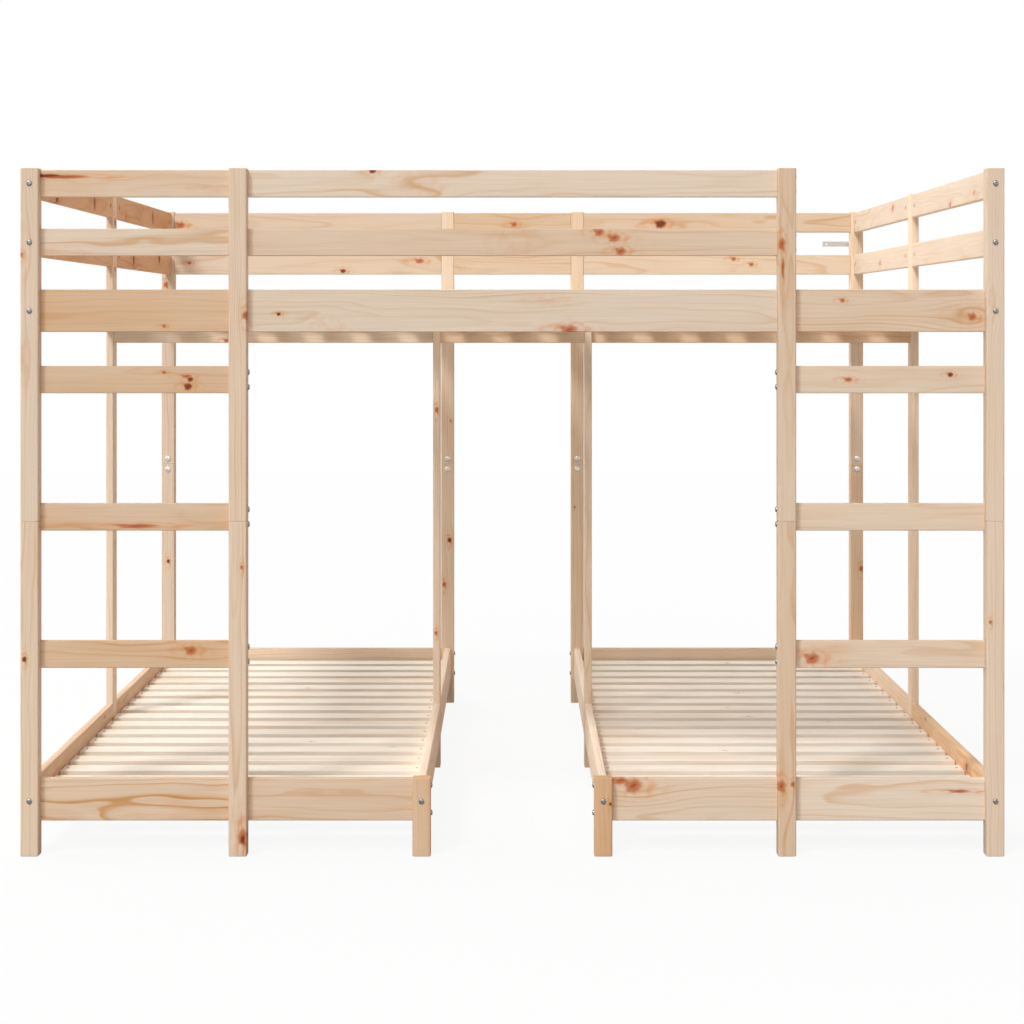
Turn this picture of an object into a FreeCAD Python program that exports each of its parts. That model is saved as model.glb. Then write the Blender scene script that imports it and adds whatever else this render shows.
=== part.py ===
"""Triple bunk bed of pine: two low single beds under one wide upper bed.

Millimetres, +Z up. X runs along the front, from left to right, and Y runs from the
front to the back. The origin is on the floor, under the middle of the bed.
"""
import FreeCAD
import Part
import math
import os

Vector = FreeCAD.Vector

# Timber sections
post_side = 38.0
board_thickness = 18.0
rail_height = 57.0
board_height = 89.0
ledger_side = 24.0
slat_width = 70.0
slat_thickness = 12.0
post_corner_radius = 3.5
post_corner_steps = 2
rail_ease = 2.0

# Plan of the frame
clear_width = 1980.0
clear_length = 2000.0
ladder_clear_width = 397.0
low_bed_width = 857.0

# Heights
low_board_bottom = 71.0
upper_board_bottom = 1095.5
guard_gap_low = 70.5
guard_gap_top = 66.0
rung_pitch = 288.0
rung_count = 3
seam_height = 700.0
post_proud = 3.0

# Slats, ledgers and the beam
low_slat_pitch = 119.25
upper_slat_pitch = 118.0
slat_drop = 34.0
slat_end_gap = 1.0
beam_proud = 2.0

# Domed socket bolts and their barrel nuts
bolt_radius = 3.0
bolt_head_radius = 6.0
bolt_crown_radius = 3.6
bolt_head_height = 3.2
bolt_hole_clearance = 0.25
bolt_past_nut = 5.5
nut_radius = 6.8
nut_hole_clearance = 0.2
nut_length = 12.0
nut_setback = 38.0
fastener_sides = 6
head_sides = 8

# Seam joints of the posts
pin_radius = 7.0
pin_length = 60.0
pin_clearance = 0.2
seam_bolt_offset = 15.5
seam_bolt_past_pin = 3.0
dowel_radius = 4.0
dowel_length = 60.0
dowel_spacing = 28.0

# Domed screws in the ends of the rungs
screw_radius = 2.75
screw_length = 70.0
rung_screw_offset = 15.5

# Wall bracket and its screw
bracket_width = 15.0
bracket_thickness = 2.0
bracket_reach = 77.0
bracket_leg = 26.0
wall_hole_radius = 2.75
wall_hole_edge = 12.0
bracket_screw_radius = 2.0
bracket_screw_head_radius = 4.5
bracket_screw_head_height = 2.0
bracket_screw_length = 25.0

# One overrun serves every cut, and less shared volume than this is no cut
overrun = 5.0
least_cut_volume = 1.0

# Plan places that follow from the sizes above
half_width = clear_width / 2 + post_side
half_length = clear_length / 2 + post_side
corner_x = half_width - post_side / 2
row_y = half_length - post_side / 2
ladder_x = clear_width / 2 - ladder_clear_width - post_side / 2
inner_x = half_width - low_bed_width + post_side / 2
rail_y = clear_length / 2 + board_thickness / 2

# Levels that follow from the sizes above
middle_rail_bottom = upper_board_bottom + board_height + guard_gap_low
top_rail_bottom = middle_rail_bottom + rail_height + guard_gap_top
post_height = top_rail_bottom + rail_height + post_proud
low_slat_top = low_board_bottom + board_height - slat_drop
upper_slat_top = upper_board_bottom + board_height - slat_drop
beam_bottom = upper_slat_top + beam_proud - board_height
inner_mid_top = upper_slat_top - slat_thickness

# Each level of side rails and boards: name, bottom and height
upper_levels = [
    ("top_rail", top_rail_bottom, rail_height),
    ("middle_rail", middle_rail_bottom, rail_height),
    ("bed_board", upper_board_bottom, board_height),
]

pieces = {}
timber_nodes = []


def add(node, solid, is_timber=True):
    """Put one solid in its node."""
    pieces.setdefault(node, []).append(solid)
    if is_timber and node not in timber_nodes:
        timber_nodes.append(node)


def about(centre, size):
    """The range of a size about its centre."""
    return (centre - size / 2, centre + size / 2)


def timber(x_range, y_range, z_range):
    """A sawn bar between two corners, with its four long edges eased flat."""
    low = Vector(min(x_range), min(y_range), min(z_range))
    high = Vector(max(x_range), max(y_range), max(z_range))
    size = high - low
    bar = Part.makeBox(size.x, size.y, size.z, low)
    length = max(size.x, size.y, size.z)
    long_edges = [edge for edge in bar.Edges if math.isclose(edge.Length, length)]
    return bar.makeChamfer(rail_ease, long_edges)


def post(x_range, y_range, z_range):
    """An upright square bar with its four long edges rounded in a few flats."""
    radius = post_corner_radius
    low_x, high_x = min(x_range) + radius, max(x_range) - radius
    low_y, high_y = min(y_range) + radius, max(y_range) - radius
    corners = [(high_x, high_y), (low_x, high_y), (low_x, low_y), (high_x, low_y)]
    outline = []
    for quarter, (x, y) in enumerate(corners):
        for step in range(post_corner_steps + 1):
            angle = math.pi / 2 * (quarter + step / post_corner_steps)
            outline.append(Vector(x + radius * math.cos(angle), y + radius * math.sin(angle), min(z_range)))
    face = Part.Face(Part.makePolygon(outline + outline[:1]))
    return face.extrude(Vector(0, 0, max(z_range) - min(z_range)))


def plain_bar(x_range, y_range, z_range):
    """A square-edged bar between two corners, such as a slat or a ledger."""
    low = Vector(min(x_range), min(y_range), min(z_range))
    high = Vector(max(x_range), max(y_range), max(z_range))
    size = high - low
    return Part.makeBox(size.x, size.y, size.z, low)


def ring(centre, direction, radius, sides):
    """The corners of an outline of equal sides about a centre, square to a direction."""
    turn = FreeCAD.Rotation(Vector(0, 0, 1), direction)
    corners = []
    for step in range(sides):
        angle = 2 * math.pi * step / sides
        corners.append(centre + turn.multVec(Vector(radius * math.cos(angle), radius * math.sin(angle), 0)))
    return corners


def flat_face(corners):
    """The flat face inside a closed outline."""
    return Part.Face(Part.makePolygon(corners + corners[:1]))


def rod(start, direction, radius, length, sides=fastener_sides):
    """A straight rod of a few flat sides, for shanks, nuts, pins and their holes."""
    return flat_face(ring(start, direction, radius, sides)).extrude(direction * length)


def headed(seat, direction, radius, length, head_radius, crown_radius, head_height):
    """A bolt or screw: its shank runs from the seat along the direction, its head stands back."""
    rim = ring(seat, direction, head_radius, head_sides)
    crown = ring(seat - direction * head_height, direction, crown_radius, head_sides)
    faces = [flat_face(rim), flat_face(crown)]
    for step in range(head_sides):
        following = (step + 1) % head_sides
        faces.append(flat_face([rim[step], rim[following], crown[following], crown[step]]))
    head = Part.makeSolid(Part.makeShell(faces))
    shank = rod(seat, direction, radius, length)
    return head.fuse(shank).Solids[0]


def domed(seat, direction, radius, length):
    """A domed socket bolt or screw of the bed's own head size."""
    return headed(seat, direction, radius, length, bolt_head_radius, bolt_crown_radius, bolt_head_height)


def drill(hole):
    """Cut a hole in every timber piece that it passes through."""
    for node in timber_nodes:
        solids = pieces[node]
        for index, solid in enumerate(solids):
            if solid.BoundBox.intersect(hole.BoundBox) and solid.common(hole).Volume > least_cut_volume:
                solids[index] = solid.cut(hole).Solids[0]


def hand(side):
    """The name of a side of the bed."""
    return "left" if side < 0 else "right"


def split_post(name, x_range, y_range, make=post):
    """A full-height post in two lengths that meet at the seam."""
    add(name + "_lower", make(x_range, y_range, (0, seam_height)))
    add(name + "_upper", make(x_range, y_range, (seam_height, post_height)))


def make_posts():
    """The posts and legs of both rows and of the middle."""
    for side in (-1, 1):
        label = hand(side)
        for row, y in (("front", -row_y), ("back", row_y)):
            split_post(label + "_" + row + "_post", about(side * corner_x, post_side), about(y, post_side))
        split_post(label + "_ladder_post", about(side * ladder_x, post_side), about(-row_y, post_side))
        split_post(label + "_back_inner_post", about(side * inner_x, post_side), about(row_y, post_side))
        bar_y = about(0, rail_height)
        split_post(label + "_mid_post", about(side * corner_x, board_thickness), bar_y, timber)
        inner_bar_x = about(side * inner_x, board_thickness)
        add(label + "_inner_mid_post", timber(inner_bar_x, bar_y, (0, inner_mid_top)))
        leg_top = low_board_bottom + board_height + post_proud
        add(label + "_short_leg",
            post(about(side * inner_x, post_side), about(-row_y, post_side), (0, leg_top)))


def cross_rail(node, x_from, x_to, y, bottom, height):
    """A rail, rung or board along X between two faces."""
    add(node, timber((x_from, x_to), about(y, board_thickness), (bottom, bottom + height)))


def make_front():
    """The front of the upper bed, the two ladders and the front of the low beds."""
    y = -rail_y
    ladder_in = ladder_x - post_side / 2
    ladder_out = ladder_x + post_side / 2
    corner_in = clear_width / 2
    leg_out = inner_x + post_side / 2
    for name, bottom, height in upper_levels:
        cross_rail("front_left_" + name, -corner_in, -ladder_out, y, bottom, height)
        cross_rail("front_centre_" + name, -ladder_in, ladder_in, y, bottom, height)
    cross_rail("front_right_bed_board", ladder_out, corner_in, y, upper_board_bottom, board_height)
    for side in (-1, 1):
        label = hand(side)
        for step in range(1, rung_count + 1):
            bottom = middle_rail_bottom - step * rung_pitch
            cross_rail(label + "_ladder_rungs", side * corner_in, side * ladder_out, y, bottom, rail_height)
        front = label + "_low_front_boards"
        cross_rail(front, side * corner_in, side * ladder_out, y, low_board_bottom, board_height)
        cross_rail(front, side * ladder_in, side * leg_out, y, low_board_bottom, board_height)


def make_back():
    """The rails and boards of the back row."""
    corner_in = clear_width / 2
    inner_out = inner_x + post_side / 2
    inner_in = inner_x - post_side / 2
    for name, bottom, height in upper_levels:
        node = "back_bed_boards" if name == "bed_board" else "back_guard_rails"
        cross_rail(node, -corner_in, -inner_out, rail_y, bottom, height)
        cross_rail(node, -inner_in, inner_in, rail_y, bottom, height)
        cross_rail(node, inner_out, corner_in, rail_y, bottom, height)
    for side in (-1, 1):
        x_from, x_to = side * corner_in, side * inner_out
        cross_rail("low_back_boards", x_from, x_to, rail_y, low_board_bottom, board_height)


def side_rails(node, x, bottom, height):
    """The two lengths of a side rail or board, from the posts to the mid post."""
    for end in (-1, 1):
        add(node, timber(about(x, board_thickness), (end * rail_height / 2, end * clear_length / 2),
                         (bottom, bottom + height)))


def make_sides():
    """The rails and boards of the sides, front to back."""
    for side in (-1, 1):
        label = hand(side)
        for name, bottom, height in upper_levels:
            node = "_side_bed_boards" if name == "bed_board" else "_side_guard_rails"
            side_rails(label + node, side * corner_x, bottom, height)
        for x in (corner_x, inner_x):
            side_rails(label + "_low_side_boards", side * x, low_board_bottom, board_height)


def make_beam():
    """The centre beam of the upper bed, in three lengths between the mid posts."""
    face = board_thickness / 2
    lengths = [
        (-corner_x + face, -inner_x - face),
        (-inner_x + face, inner_x - face),
        (inner_x + face, corner_x - face),
    ]
    for x_from, x_to in lengths:
        cross_rail("centre_beam", x_from, x_to, 0, beam_bottom, board_height)
    return lengths


def make_ledgers(beam_lengths):
    """The strips under the ends of the slats."""
    low_top = low_slat_top - slat_thickness
    low_z = (low_top - ledger_side, low_top)
    for side in (-1, 1):
        for x, towards in ((corner_x, -1), (inner_x, 1)):
            face = x + towards * board_thickness / 2
            x_range = (side * face, side * (face + towards * ledger_side))
            for end in (-1, 1):
                add("low_bed_ledgers", plain_bar(x_range, (0, end * clear_length / 2), low_z))
    upper_top = upper_slat_top - slat_thickness
    upper_z = (upper_top - ledger_side, upper_top)
    for joint_x, row in ((ladder_x, -1), (inner_x, 1)):
        stops = [-clear_width / 2, -joint_x, joint_x, clear_width / 2]
        face = row * clear_length / 2
        for x_from, x_to in zip(stops, stops[1:]):
            add("upper_bed_ledgers", plain_bar((x_from, x_to), (face, face - row * ledger_side), upper_z))
    for x_from, x_to in beam_lengths:
        for row in (-1, 1):
            face = row * board_thickness / 2
            add("upper_bed_ledgers", plain_bar((x_from, x_to), (face, face + row * ledger_side), upper_z))


def slat_places(room, pitch):
    """The centres of as many slats as fit in a room, spread evenly about its middle."""
    count = int((room - slat_width) // pitch) + 1
    return [(index - (count - 1) / 2) * pitch for index in range(count)]


def make_slats():
    """The slats of the low beds run across them, those of the upper bed front to back."""
    low_z = (low_slat_top - slat_thickness, low_slat_top)
    face = board_thickness / 2 + slat_end_gap
    for side in (-1, 1):
        x_range = (side * (corner_x - face), side * (inner_x + face))
        for y in slat_places(clear_length, low_slat_pitch):
            add(hand(side) + "_low_bed_slats", plain_bar(x_range, about(y, slat_width), low_z))
    upper_z = (upper_slat_top - slat_thickness, upper_slat_top)
    far_end = clear_length / 2 - slat_end_gap
    for x in slat_places(2 * corner_x - board_thickness, upper_slat_pitch):
        for row in (-1, 1):
            add("upper_bed_slats", plain_bar(about(x, slat_width), (row * face, row * far_end), upper_z))


def barrel_nut(x, y, z, facing):
    """A barrel nut in a side rail, put in from the face that looks along X in the way given."""
    towards = Vector(facing, 0, 0)
    centre = Vector(x, y, z)
    hole_start = Vector(x - facing * nut_length / 2, y, z)
    hole_length = nut_length / 2 + board_thickness / 2 + overrun
    drill(rod(hole_start, towards, nut_radius + nut_hole_clearance, hole_length))
    body = rod(centre - towards * nut_length / 2, towards, nut_radius, nut_length)
    thread = rod(centre - Vector(0, nut_radius + overrun, 0), Vector(0, 1, 0),
                 bolt_radius + bolt_hole_clearance, 2 * (nut_radius + overrun))
    add("barrel_nuts", body.cut(thread).Solids[0], False)


def side_joints():
    """Each side rail is held at its post by a domed bolt, and at the mid post by a tie rod."""
    joints = []
    for side in (-1, 1):
        for name, bottom, height in upper_levels:
            joints.append((side * corner_x, bottom + height / 2, -side))
        low_centre = low_board_bottom + board_height / 2
        joints.append((side * corner_x, low_centre, side))
        joints.append((side * inner_x, low_centre, -side))
    return joints


def make_side_bolts():
    """Bolts, tie rods and barrel nuts of the side rails and boards."""
    reach = post_side + nut_setback + bolt_past_nut
    rod_length = rail_height + 2 * (nut_setback + bolt_past_nut)
    for x, z, facing in side_joints():
        for end in (-1, 1):
            seat = Vector(x, end * half_length, z)
            inward = Vector(0, -end, 0)
            drill(rod(seat - inward * overrun, inward, bolt_radius + bolt_hole_clearance, reach + overrun))
            add("side_rail_bolts", domed(seat, inward, bolt_radius, reach), False)
            barrel_nut(x, end * (clear_length / 2 - nut_setback), z, facing)
            barrel_nut(x, end * (rail_height / 2 + nut_setback), z, facing)
        start = Vector(x, -rod_length / 2, z)
        along = Vector(0, 1, 0)
        drill(rod(start, along, bolt_radius + bolt_hole_clearance, rod_length))
        add("mid_post_tie_rods", rod(start, along, bolt_radius, rod_length), False)


def make_seam_joints():
    """A steel pin and two bolts hold each square post at its seam, and dowels each mid post."""
    up = Vector(0, 0, 1)
    posts = []
    for side in (-1, 1):
        posts += [(side * corner_x, -1), (side * ladder_x, -1), (side * corner_x, 1), (side * inner_x, 1)]
    for x, row in posts:
        y = row * row_y
        foot = Vector(x, y, seam_height - pin_length / 2)
        drill(rod(foot, up, pin_radius + pin_clearance, pin_length))
        pin = rod(foot, up, pin_radius, pin_length)
        into = Vector(0, row, 0)
        length = post_side / 2 + seam_bolt_past_pin
        for way in (-1, 1):
            seat = Vector(x, row * clear_length / 2, seam_height + way * seam_bolt_offset)
            hole = rod(seat - into * overrun, into, bolt_radius + bolt_hole_clearance, length + overrun)
            drill(hole)
            pin = pin.cut(hole).Solids[0]
            add("seam_bolts", domed(seat, into, bolt_radius, length), False)
        add("seam_pins", pin, False)
    for side in (-1, 1):
        for way in (-1, 1):
            foot = Vector(side * corner_x, way * dowel_spacing / 2, seam_height - dowel_length / 2)
            drill(rod(foot, up, dowel_radius + pin_clearance, dowel_length, head_sides))
            add("mid_post_dowels", rod(foot, up, dowel_radius, dowel_length, head_sides), False)


def end_screws(x_face, towards, middle):
    """The two domed screws that hold one end of a rung, put in from a post's face."""
    along = Vector(towards, 0, 0)
    for way in (-1, 1):
        seat = Vector(x_face, -rail_y, middle + way * rung_screw_offset)
        drill(rod(seat - along * overrun, along, screw_radius + bolt_hole_clearance, screw_length + overrun))
        add("rung_screws", domed(seat, along, screw_radius, screw_length), False)


def make_rung_screws():
    """Screws through the corner post and the ladder post into both ends of each rung."""
    for side in (-1, 1):
        for step in range(1, rung_count + 1):
            middle = middle_rail_bottom + rail_height / 2 - step * rung_pitch
            end_screws(side * half_width, -side, middle)
            end_screws(side * (ladder_x - post_side / 2), side, middle)


def make_wall_bracket():
    """A bent steel strap on the inner face of the right back post, with its screw."""
    post_face = clear_width / 2
    middle = top_rail_bottom - guard_gap_top / 2
    z_range = about(middle, bracket_width)
    leg_x = (post_face - bracket_thickness, post_face)
    leg = plain_bar(leg_x, (half_length - bracket_leg, half_length), z_range)
    reach_x = (post_face - bracket_reach, post_face)
    reach = plain_bar(reach_x, (half_length - bracket_thickness, half_length), z_range)
    bracket = leg.fuse(reach).removeSplitter().Solids[0]
    hole_x = post_face - bracket_reach + wall_hole_edge
    start = Vector(hole_x, half_length - bracket_thickness - overrun, middle)
    wall_hole = Part.makeCylinder(wall_hole_radius, bracket_thickness + 2 * overrun, start, Vector(0, 1, 0))
    bracket = bracket.cut(wall_hole)
    seat = Vector(post_face - bracket_thickness, half_length - bracket_leg / 2, middle)
    into = Vector(1, 0, 0)
    hole = rod(seat - into * overrun, into, bracket_screw_radius, bracket_screw_length + overrun)
    drill(hole)
    add("wall_bracket", bracket.cut(hole).Solids[0], False)
    add("wall_bracket_screw",
        headed(seat, into, bracket_screw_radius, bracket_screw_length, bracket_screw_head_radius,
               bracket_screw_radius, bracket_screw_head_height), False)


def write_parts():
    """One file for each node, with its solids side by side."""
    os.makedirs("parts", exist_ok=True)
    for node, solids in pieces.items():
        shape = solids[0] if len(solids) == 1 else Part.makeCompound(solids)
        shape.exportStep("parts/" + node + ".step")
    print(len(pieces), "nodes,", sum(len(solids) for solids in pieces.values()), "solids")


make_posts()
make_front()
make_back()
make_sides()
beam_lengths = make_beam()
make_ledgers(beam_lengths)
make_slats()
make_side_bolts()
make_seam_joints()
make_rung_screws()
make_wall_bracket()
write_parts()
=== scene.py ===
import math
import random

import bpy
import bmesh
from bpy.props import FloatProperty, FloatVectorProperty, IntProperty, PointerProperty
from mathutils import Matrix, Vector


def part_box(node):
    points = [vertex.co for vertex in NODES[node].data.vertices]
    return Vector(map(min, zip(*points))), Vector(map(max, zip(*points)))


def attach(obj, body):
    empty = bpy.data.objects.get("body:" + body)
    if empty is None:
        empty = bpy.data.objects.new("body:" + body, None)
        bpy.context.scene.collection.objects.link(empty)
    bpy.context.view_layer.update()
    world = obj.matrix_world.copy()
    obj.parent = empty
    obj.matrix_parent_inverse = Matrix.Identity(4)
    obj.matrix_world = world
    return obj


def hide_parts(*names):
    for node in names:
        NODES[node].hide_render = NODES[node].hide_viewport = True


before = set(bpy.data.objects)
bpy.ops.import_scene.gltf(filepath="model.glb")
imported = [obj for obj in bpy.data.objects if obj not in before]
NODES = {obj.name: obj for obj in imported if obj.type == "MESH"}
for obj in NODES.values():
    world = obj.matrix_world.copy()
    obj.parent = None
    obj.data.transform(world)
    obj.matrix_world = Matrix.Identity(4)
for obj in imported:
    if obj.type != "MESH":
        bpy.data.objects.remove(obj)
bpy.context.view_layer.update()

bl_info = {
    "name": "Triple bunk bed finisher",
    "version": (1, 0, 0),
    "blender": (4, 5, 0),
    "location": "3D View > Sidebar > Bunk bed",
    "description": "Gives the pine bunk bed its grain, knots, bolts, screws and a plain studio",
    "category": "Object",
}

# The camera's lens in millimetres and its shift in widths of the picture, fitted to the photograph's view.
LENS, LENS_SHIFT = 85.13, (-0.0004, -0.1863)
SLAT_NODES = ("left_low_bed_slats", "right_low_bed_slats", "upper_bed_slats")


def paint(code):
    """Turn an sRGB hex colour into the linear colour that shaders use."""
    values = [int(code[k:k + 2], 16) / 255 for k in (1, 3, 5)]
    return tuple(v / 12.92 if v <= 0.04045 else ((v + 0.055) / 1.055) ** 2.4 for v in values)


def mm(length):
    """Millimetres to metres."""
    return length / 1000


def per(length):
    """Pattern scale for a repeat of this many millimetres."""
    return 1000 / length


# ---- settings

def colour_of(name, description, code):
    """Setting for a colour, its default as an sRGB hex value."""
    return FloatVectorProperty(name=name, description=description, subtype="COLOR", default=paint(code))


def length_of(name, description, length):
    """Setting for a length, its default in millimetres."""
    return FloatProperty(name=name, description=description, default=mm(length), unit="LENGTH")


def level_of(name, description, level):
    """Setting for how bright a light is."""
    return FloatProperty(name=name, description=description, default=level, min=0)


def share_of(name, description, share):
    """Setting for a share from 0 to 1."""
    return FloatProperty(name=name, description=description, default=share, min=0, max=1, subtype="FACTOR")


class TimberSettings(bpy.types.PropertyGroup):
    early_wood: colour_of("Early wood", "Pale wood between the growth rings", "#DFC8AF")
    grey_wood: colour_of("Greyish wood", "Colour that the palest boards lean to", "#E1CFBB")
    tan_wood: colour_of("Tan wood", "Colour that the warmest boards lean to", "#D9AF84")
    heart_wood: colour_of("Heartwood", "Reddish wood from the middle of the log", "#BC6A32")
    slat_wood: colour_of("Slat wood", "Creamy colour of the bare slats", "#F8F1E4")
    late_wood: colour_of("Late wood", "Dense dark line of each growth ring", "#C8965E")
    knot_core: colour_of("Knot", "Heart of a live knot", "#B9602F")
    knot_dark: colour_of("Dark knot", "Bark ring and heart of a dead knot", "#6E2F18")
    knot_halo: colour_of("Knot halo", "Resin-rich wood round a knot", "#D58C4E")
    ring_width: length_of("Growth ring", "Mean distance between two growth rings", 6)
    ring_contrast: share_of("Ring contrast", "How strongly the rings show", 0.52)
    end_ease: length_of("End ease", "Small chamfer round the ends of the posts", 1.2)
    slat_ease: length_of("Slat ease", "Rounding of the slats' long edges", 1.2)


class HardwareSettings(bpy.types.PropertyGroup):
    head_width: length_of("Bolt head", "Diameter of the domed bolt heads", 12)
    head_height: length_of("Bolt head height", "Height of the domed bolt heads", 3.2)
    seam_head_width: length_of("Seam bolt head", "Diameter of the bolt heads at the seams", 17)
    key_width: length_of("Socket", "Width across the flats of the hexagon socket", 4.5)
    shank_width: length_of("Shank", "Diameter of the bolt shanks", 6)
    slat_screw: length_of("Slat screw", "Diameter of the countersunk slat screws", 7)
    slat_screw_inset: length_of("Slat screw place", "Slat screw centre from the slat's end", 12)
    screw_sides: IntProperty(name="Screw sides", description="Sides of the slat screws", default=8, min=8, max=24)


class StudioSettings(bpy.types.PropertyGroup):
    front_level: level_of("Main light", "Level of the light from high in front on the left", 0.55)
    low_level: level_of("Low light", "Level of the light from low in front", 0.33)
    left_level: level_of("Left light", "Level of the soft light from low on the left", 0.48)
    right_level: level_of("Right light", "Level of the soft light from the right", 0.28)
    back_level: level_of("Back light", "Level of the soft light from high behind", 0.38)
    sky_level: level_of("Soft light", "Level of the even light from all round", 0.12)
    floor_bounce: share_of("Floor bounce", "How much light the floor sends back", 0.50)
    camera_distance: length_of("Camera distance", "Camera to the middle of the bed", 6094)
    camera_height: length_of("Camera height", "Height of the camera above the floor", 1118)


# ---- what the wood of this bed shows

# Tone of single boards, top board first and then from the left: lightness, warmth from greyish to tan and, where
# the rings are plainer or bolder than usual, how much so. A post's row without a length holds for both.
TONES = {
    "front_left_top_rail": [(0.0, 0.2)],
    "front_left_middle_rail": [(0.0, -0.5, 1.3)],
    "front_left_bed_board": [(-0.4, 1.0, 0.7)],
    "front_centre_top_rail": [(0.1, -1.0)],
    "front_centre_middle_rail": [(-0.2, 0.2)],
    "front_centre_bed_board": [(-0.2, -0.8)],
    "front_right_bed_board": [(-0.2, 0.2, 1.3)],
    "left_ladder_rungs": [(-0.5, 0.7), (-0.4, 0.6), (-0.5, 0.7)],
    "right_ladder_rungs": [(0.0, -0.2), (0.0, -0.2), (0.0, -0.1)],
    "left_low_front_boards": [(-0.1, 0.3, 2.4), (-0.3, 0.3)],
    "right_low_front_boards": [(0.0, -0.3), (0.3, -1.0)],
    "left_short_leg": [(-0.2, 0.9)],
    "right_short_leg": [(-0.4, 1.3)],
    "left_front_post_upper": [(0.0, -0.2)],
    "left_front_post_lower": [(0.0, -0.1)],
    "left_ladder_post": [(0.0, -0.2)],
    "right_ladder_post": [(-0.4, 0.2)],
    "right_front_post_upper": [(0.0, -0.4)],
    "right_front_post_lower": [(0.0, -0.3)],
    # These rails' warm tone is partly their wood and partly painted shade: it stands in for the warm shade on their
    # inner faces.
    "left_side_guard_rails": [(0.2, 1.6, 1.5), (0.0, 1.7, 1.5), (0.2, 1.5, 1.5), (0.1, 1.6, 1.5)],
    "left_mid_post": [(0.9, -0.7)],
    "left_back_post": [(0.0, -0.5)],
    "left_back_inner_post": [(1.0, -0.2)],
    "right_back_inner_post": [(0.8, 0.2)],
    "right_back_post_upper": [(1.4, 0.0)],
    "right_back_post_lower": [(1.0, 0.6)],
    "back_guard_rails": [(-0.3, -0.6), (-0.4, 0.3), (-0.3, 0.2, 1.6), (-0.2, -0.6), (-0.1, -0.1), (0.0, -0.3)],
    "right_side_guard_rails": [(0.5, -0.9, 0.8), (0.4, -0.9, 0.8), (0.4, -0.9, 0.8), (0.5, -0.9, 0.8)],
    "left_low_side_boards": [(0.5, 0.5), (0.5, 0.5), (1.9, -0.9), (1.9, -0.9)],
    "right_low_side_boards": [(1.7, -1.0), (1.7, -1.0), (1.5, 1.1, 1.3), (1.6, 0.2)],
    "right_mid_post": [(2.0, -0.2)],
    "left_inner_mid_post": [(1.5, -0.2)],
    "right_inner_mid_post": [(0.6, -0.1)],
    "centre_beam": [(1.3, -0.6), (0.7, 0.4), (1.0, 0.6)],
}

# Knots that the bed shows, in millimetres on the bed: place along x (along y on side boards), height, radius,
# the radius below 0 where the knot is faint; then, where it isn't the usual oval, how many times longer it is
# along the grain, below 0 where it is dark. An empty row means no knots, and no row a few of the board's own.
KNOTS = {
    "left_front_post_upper": [(-1026, 1257, 4, 1.0), (-1021, 1272, -9, 1.8), (-1018, 1035, -7, 1.8)],
    "left_front_post_lower": [(-1019, 412, 4, -1.2)],
    "left_ladder_post_upper": [(-557, 1130, 6)],
    "left_ladder_post_lower": [(-565, 604, 3), (-563, 40, 8, 1.8), (-563, 36, 4, -2)],
    "right_ladder_post_upper": [(563, 1279, 6, 1.8), (565, 1229, 3, 6)],
    "right_ladder_post_lower": [(562, 147, 8), (586, 151, 4)],
    "right_front_post_upper": [(1001, 1158, -8, 1.2)],
    "left_mid_post_lower": [(-1007, 559, 3)],
    "left_mid_post_upper": [(-1007, 1366, 9, -1.0), (-1007, 1249, 6, -1.0)],
    "left_back_post_upper": [(-1014, 1225, 6)],
    "left_back_post_lower": [(-1008, 415, 4, -1.2)],
    "left_back_inner_post_lower": [(-184, 477, 5, -1.2), (-199, 347, 5)],
    "left_inner_mid_post": [(-191, 337, 3.5), (-189, 896, 4, 1.6)],
    "right_back_post_lower": [(1023, 393, 6)],
    "front_left_top_rail": [(-940, 1421, 3.5, 12), (-975, 1423, 3, -8), (-620, 1395, -5, 3)],
    "front_left_middle_rail": [(-940, 1260, -8, 2.2)],
    "front_left_bed_board": [(-730, 1108, 3)],
    "front_centre_top_rail": [(-293, 1433, 4, -1.5), (-198, 1414, -11, 1.2), (-180, 1398, -8, 1.6)],
    "left_ladder_rungs": [(-730, 1011, 3), (-675, 996, 4, -1.2), (-680, 981, 6, -1.1), (-683, 1003, 3, 3),
                          (-787, 689, 4, 9), (-674, 428, 8)],
    "right_ladder_rungs": [(918, 1006, 4, -1.2), (704, 996, 4, 1.8), (628, 412, 10)],
    "front_centre_middle_rail": [(182, 1305, 7), (213, 1293, 7, 1.5), (227, 1265, 7), (0, 1284, -17, 0.8)],
    "front_centre_bed_board": [(-490, 1133, 3, -1.2), (-384, 1106, -11, 0.9), (80, 1162, -7, 2), (119, 1101, 8, 1.8)],
    "front_right_bed_board": [(692, 1162, 4, 1.1), (964, 1128, 7, 1.0), (955, 1131, -14, 1.0)],
    "left_low_front_boards": [(-790, 90, -11, 3.5), (-640, 100, -11, 4)],
    "left_short_leg": [],
    "right_low_front_boards": [(253, 145, 12), (225, 155, 6, 2.2), (936, 133, 3, 6)],
    "back_guard_rails": [(-972, 1400, 8), (-946, 1289, 4), (-496, 1265, 5, -1.3), (-272, 1295, 6, 1.8),
                         (-154, 1275, -7, 0.8), (5, 1402, 6), (434, 1403, 10, -1.3), (648, 1301, 5), (700, 1285, 5)],
    "left_side_guard_rails": [(-775, 1392, 14, -1.2), (-298, 1402, 15, -0.7), (173, 1386, 9, -0.5),
                              (641, 1405, 15, -0.5), (301, 1280, 13, -0.9), (763, 1294, 11, -1.2)],
    "right_side_guard_rails": [(-850, 1397, 4), (-562, 1384, 5), (272, 1415, 7), (494, 1276, 5)],
    "right_low_side_boards": [(-761, 138, 7, 1.6), (-231, 155, 3)],
    "centre_beam": [(-719, 1070, 4)],
}
USUAL_OVAL = 1.25
SOFT_EDGE = 1.2         # A knot's soft edge makes it look smaller than its radius, so it is drawn wider.
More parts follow.
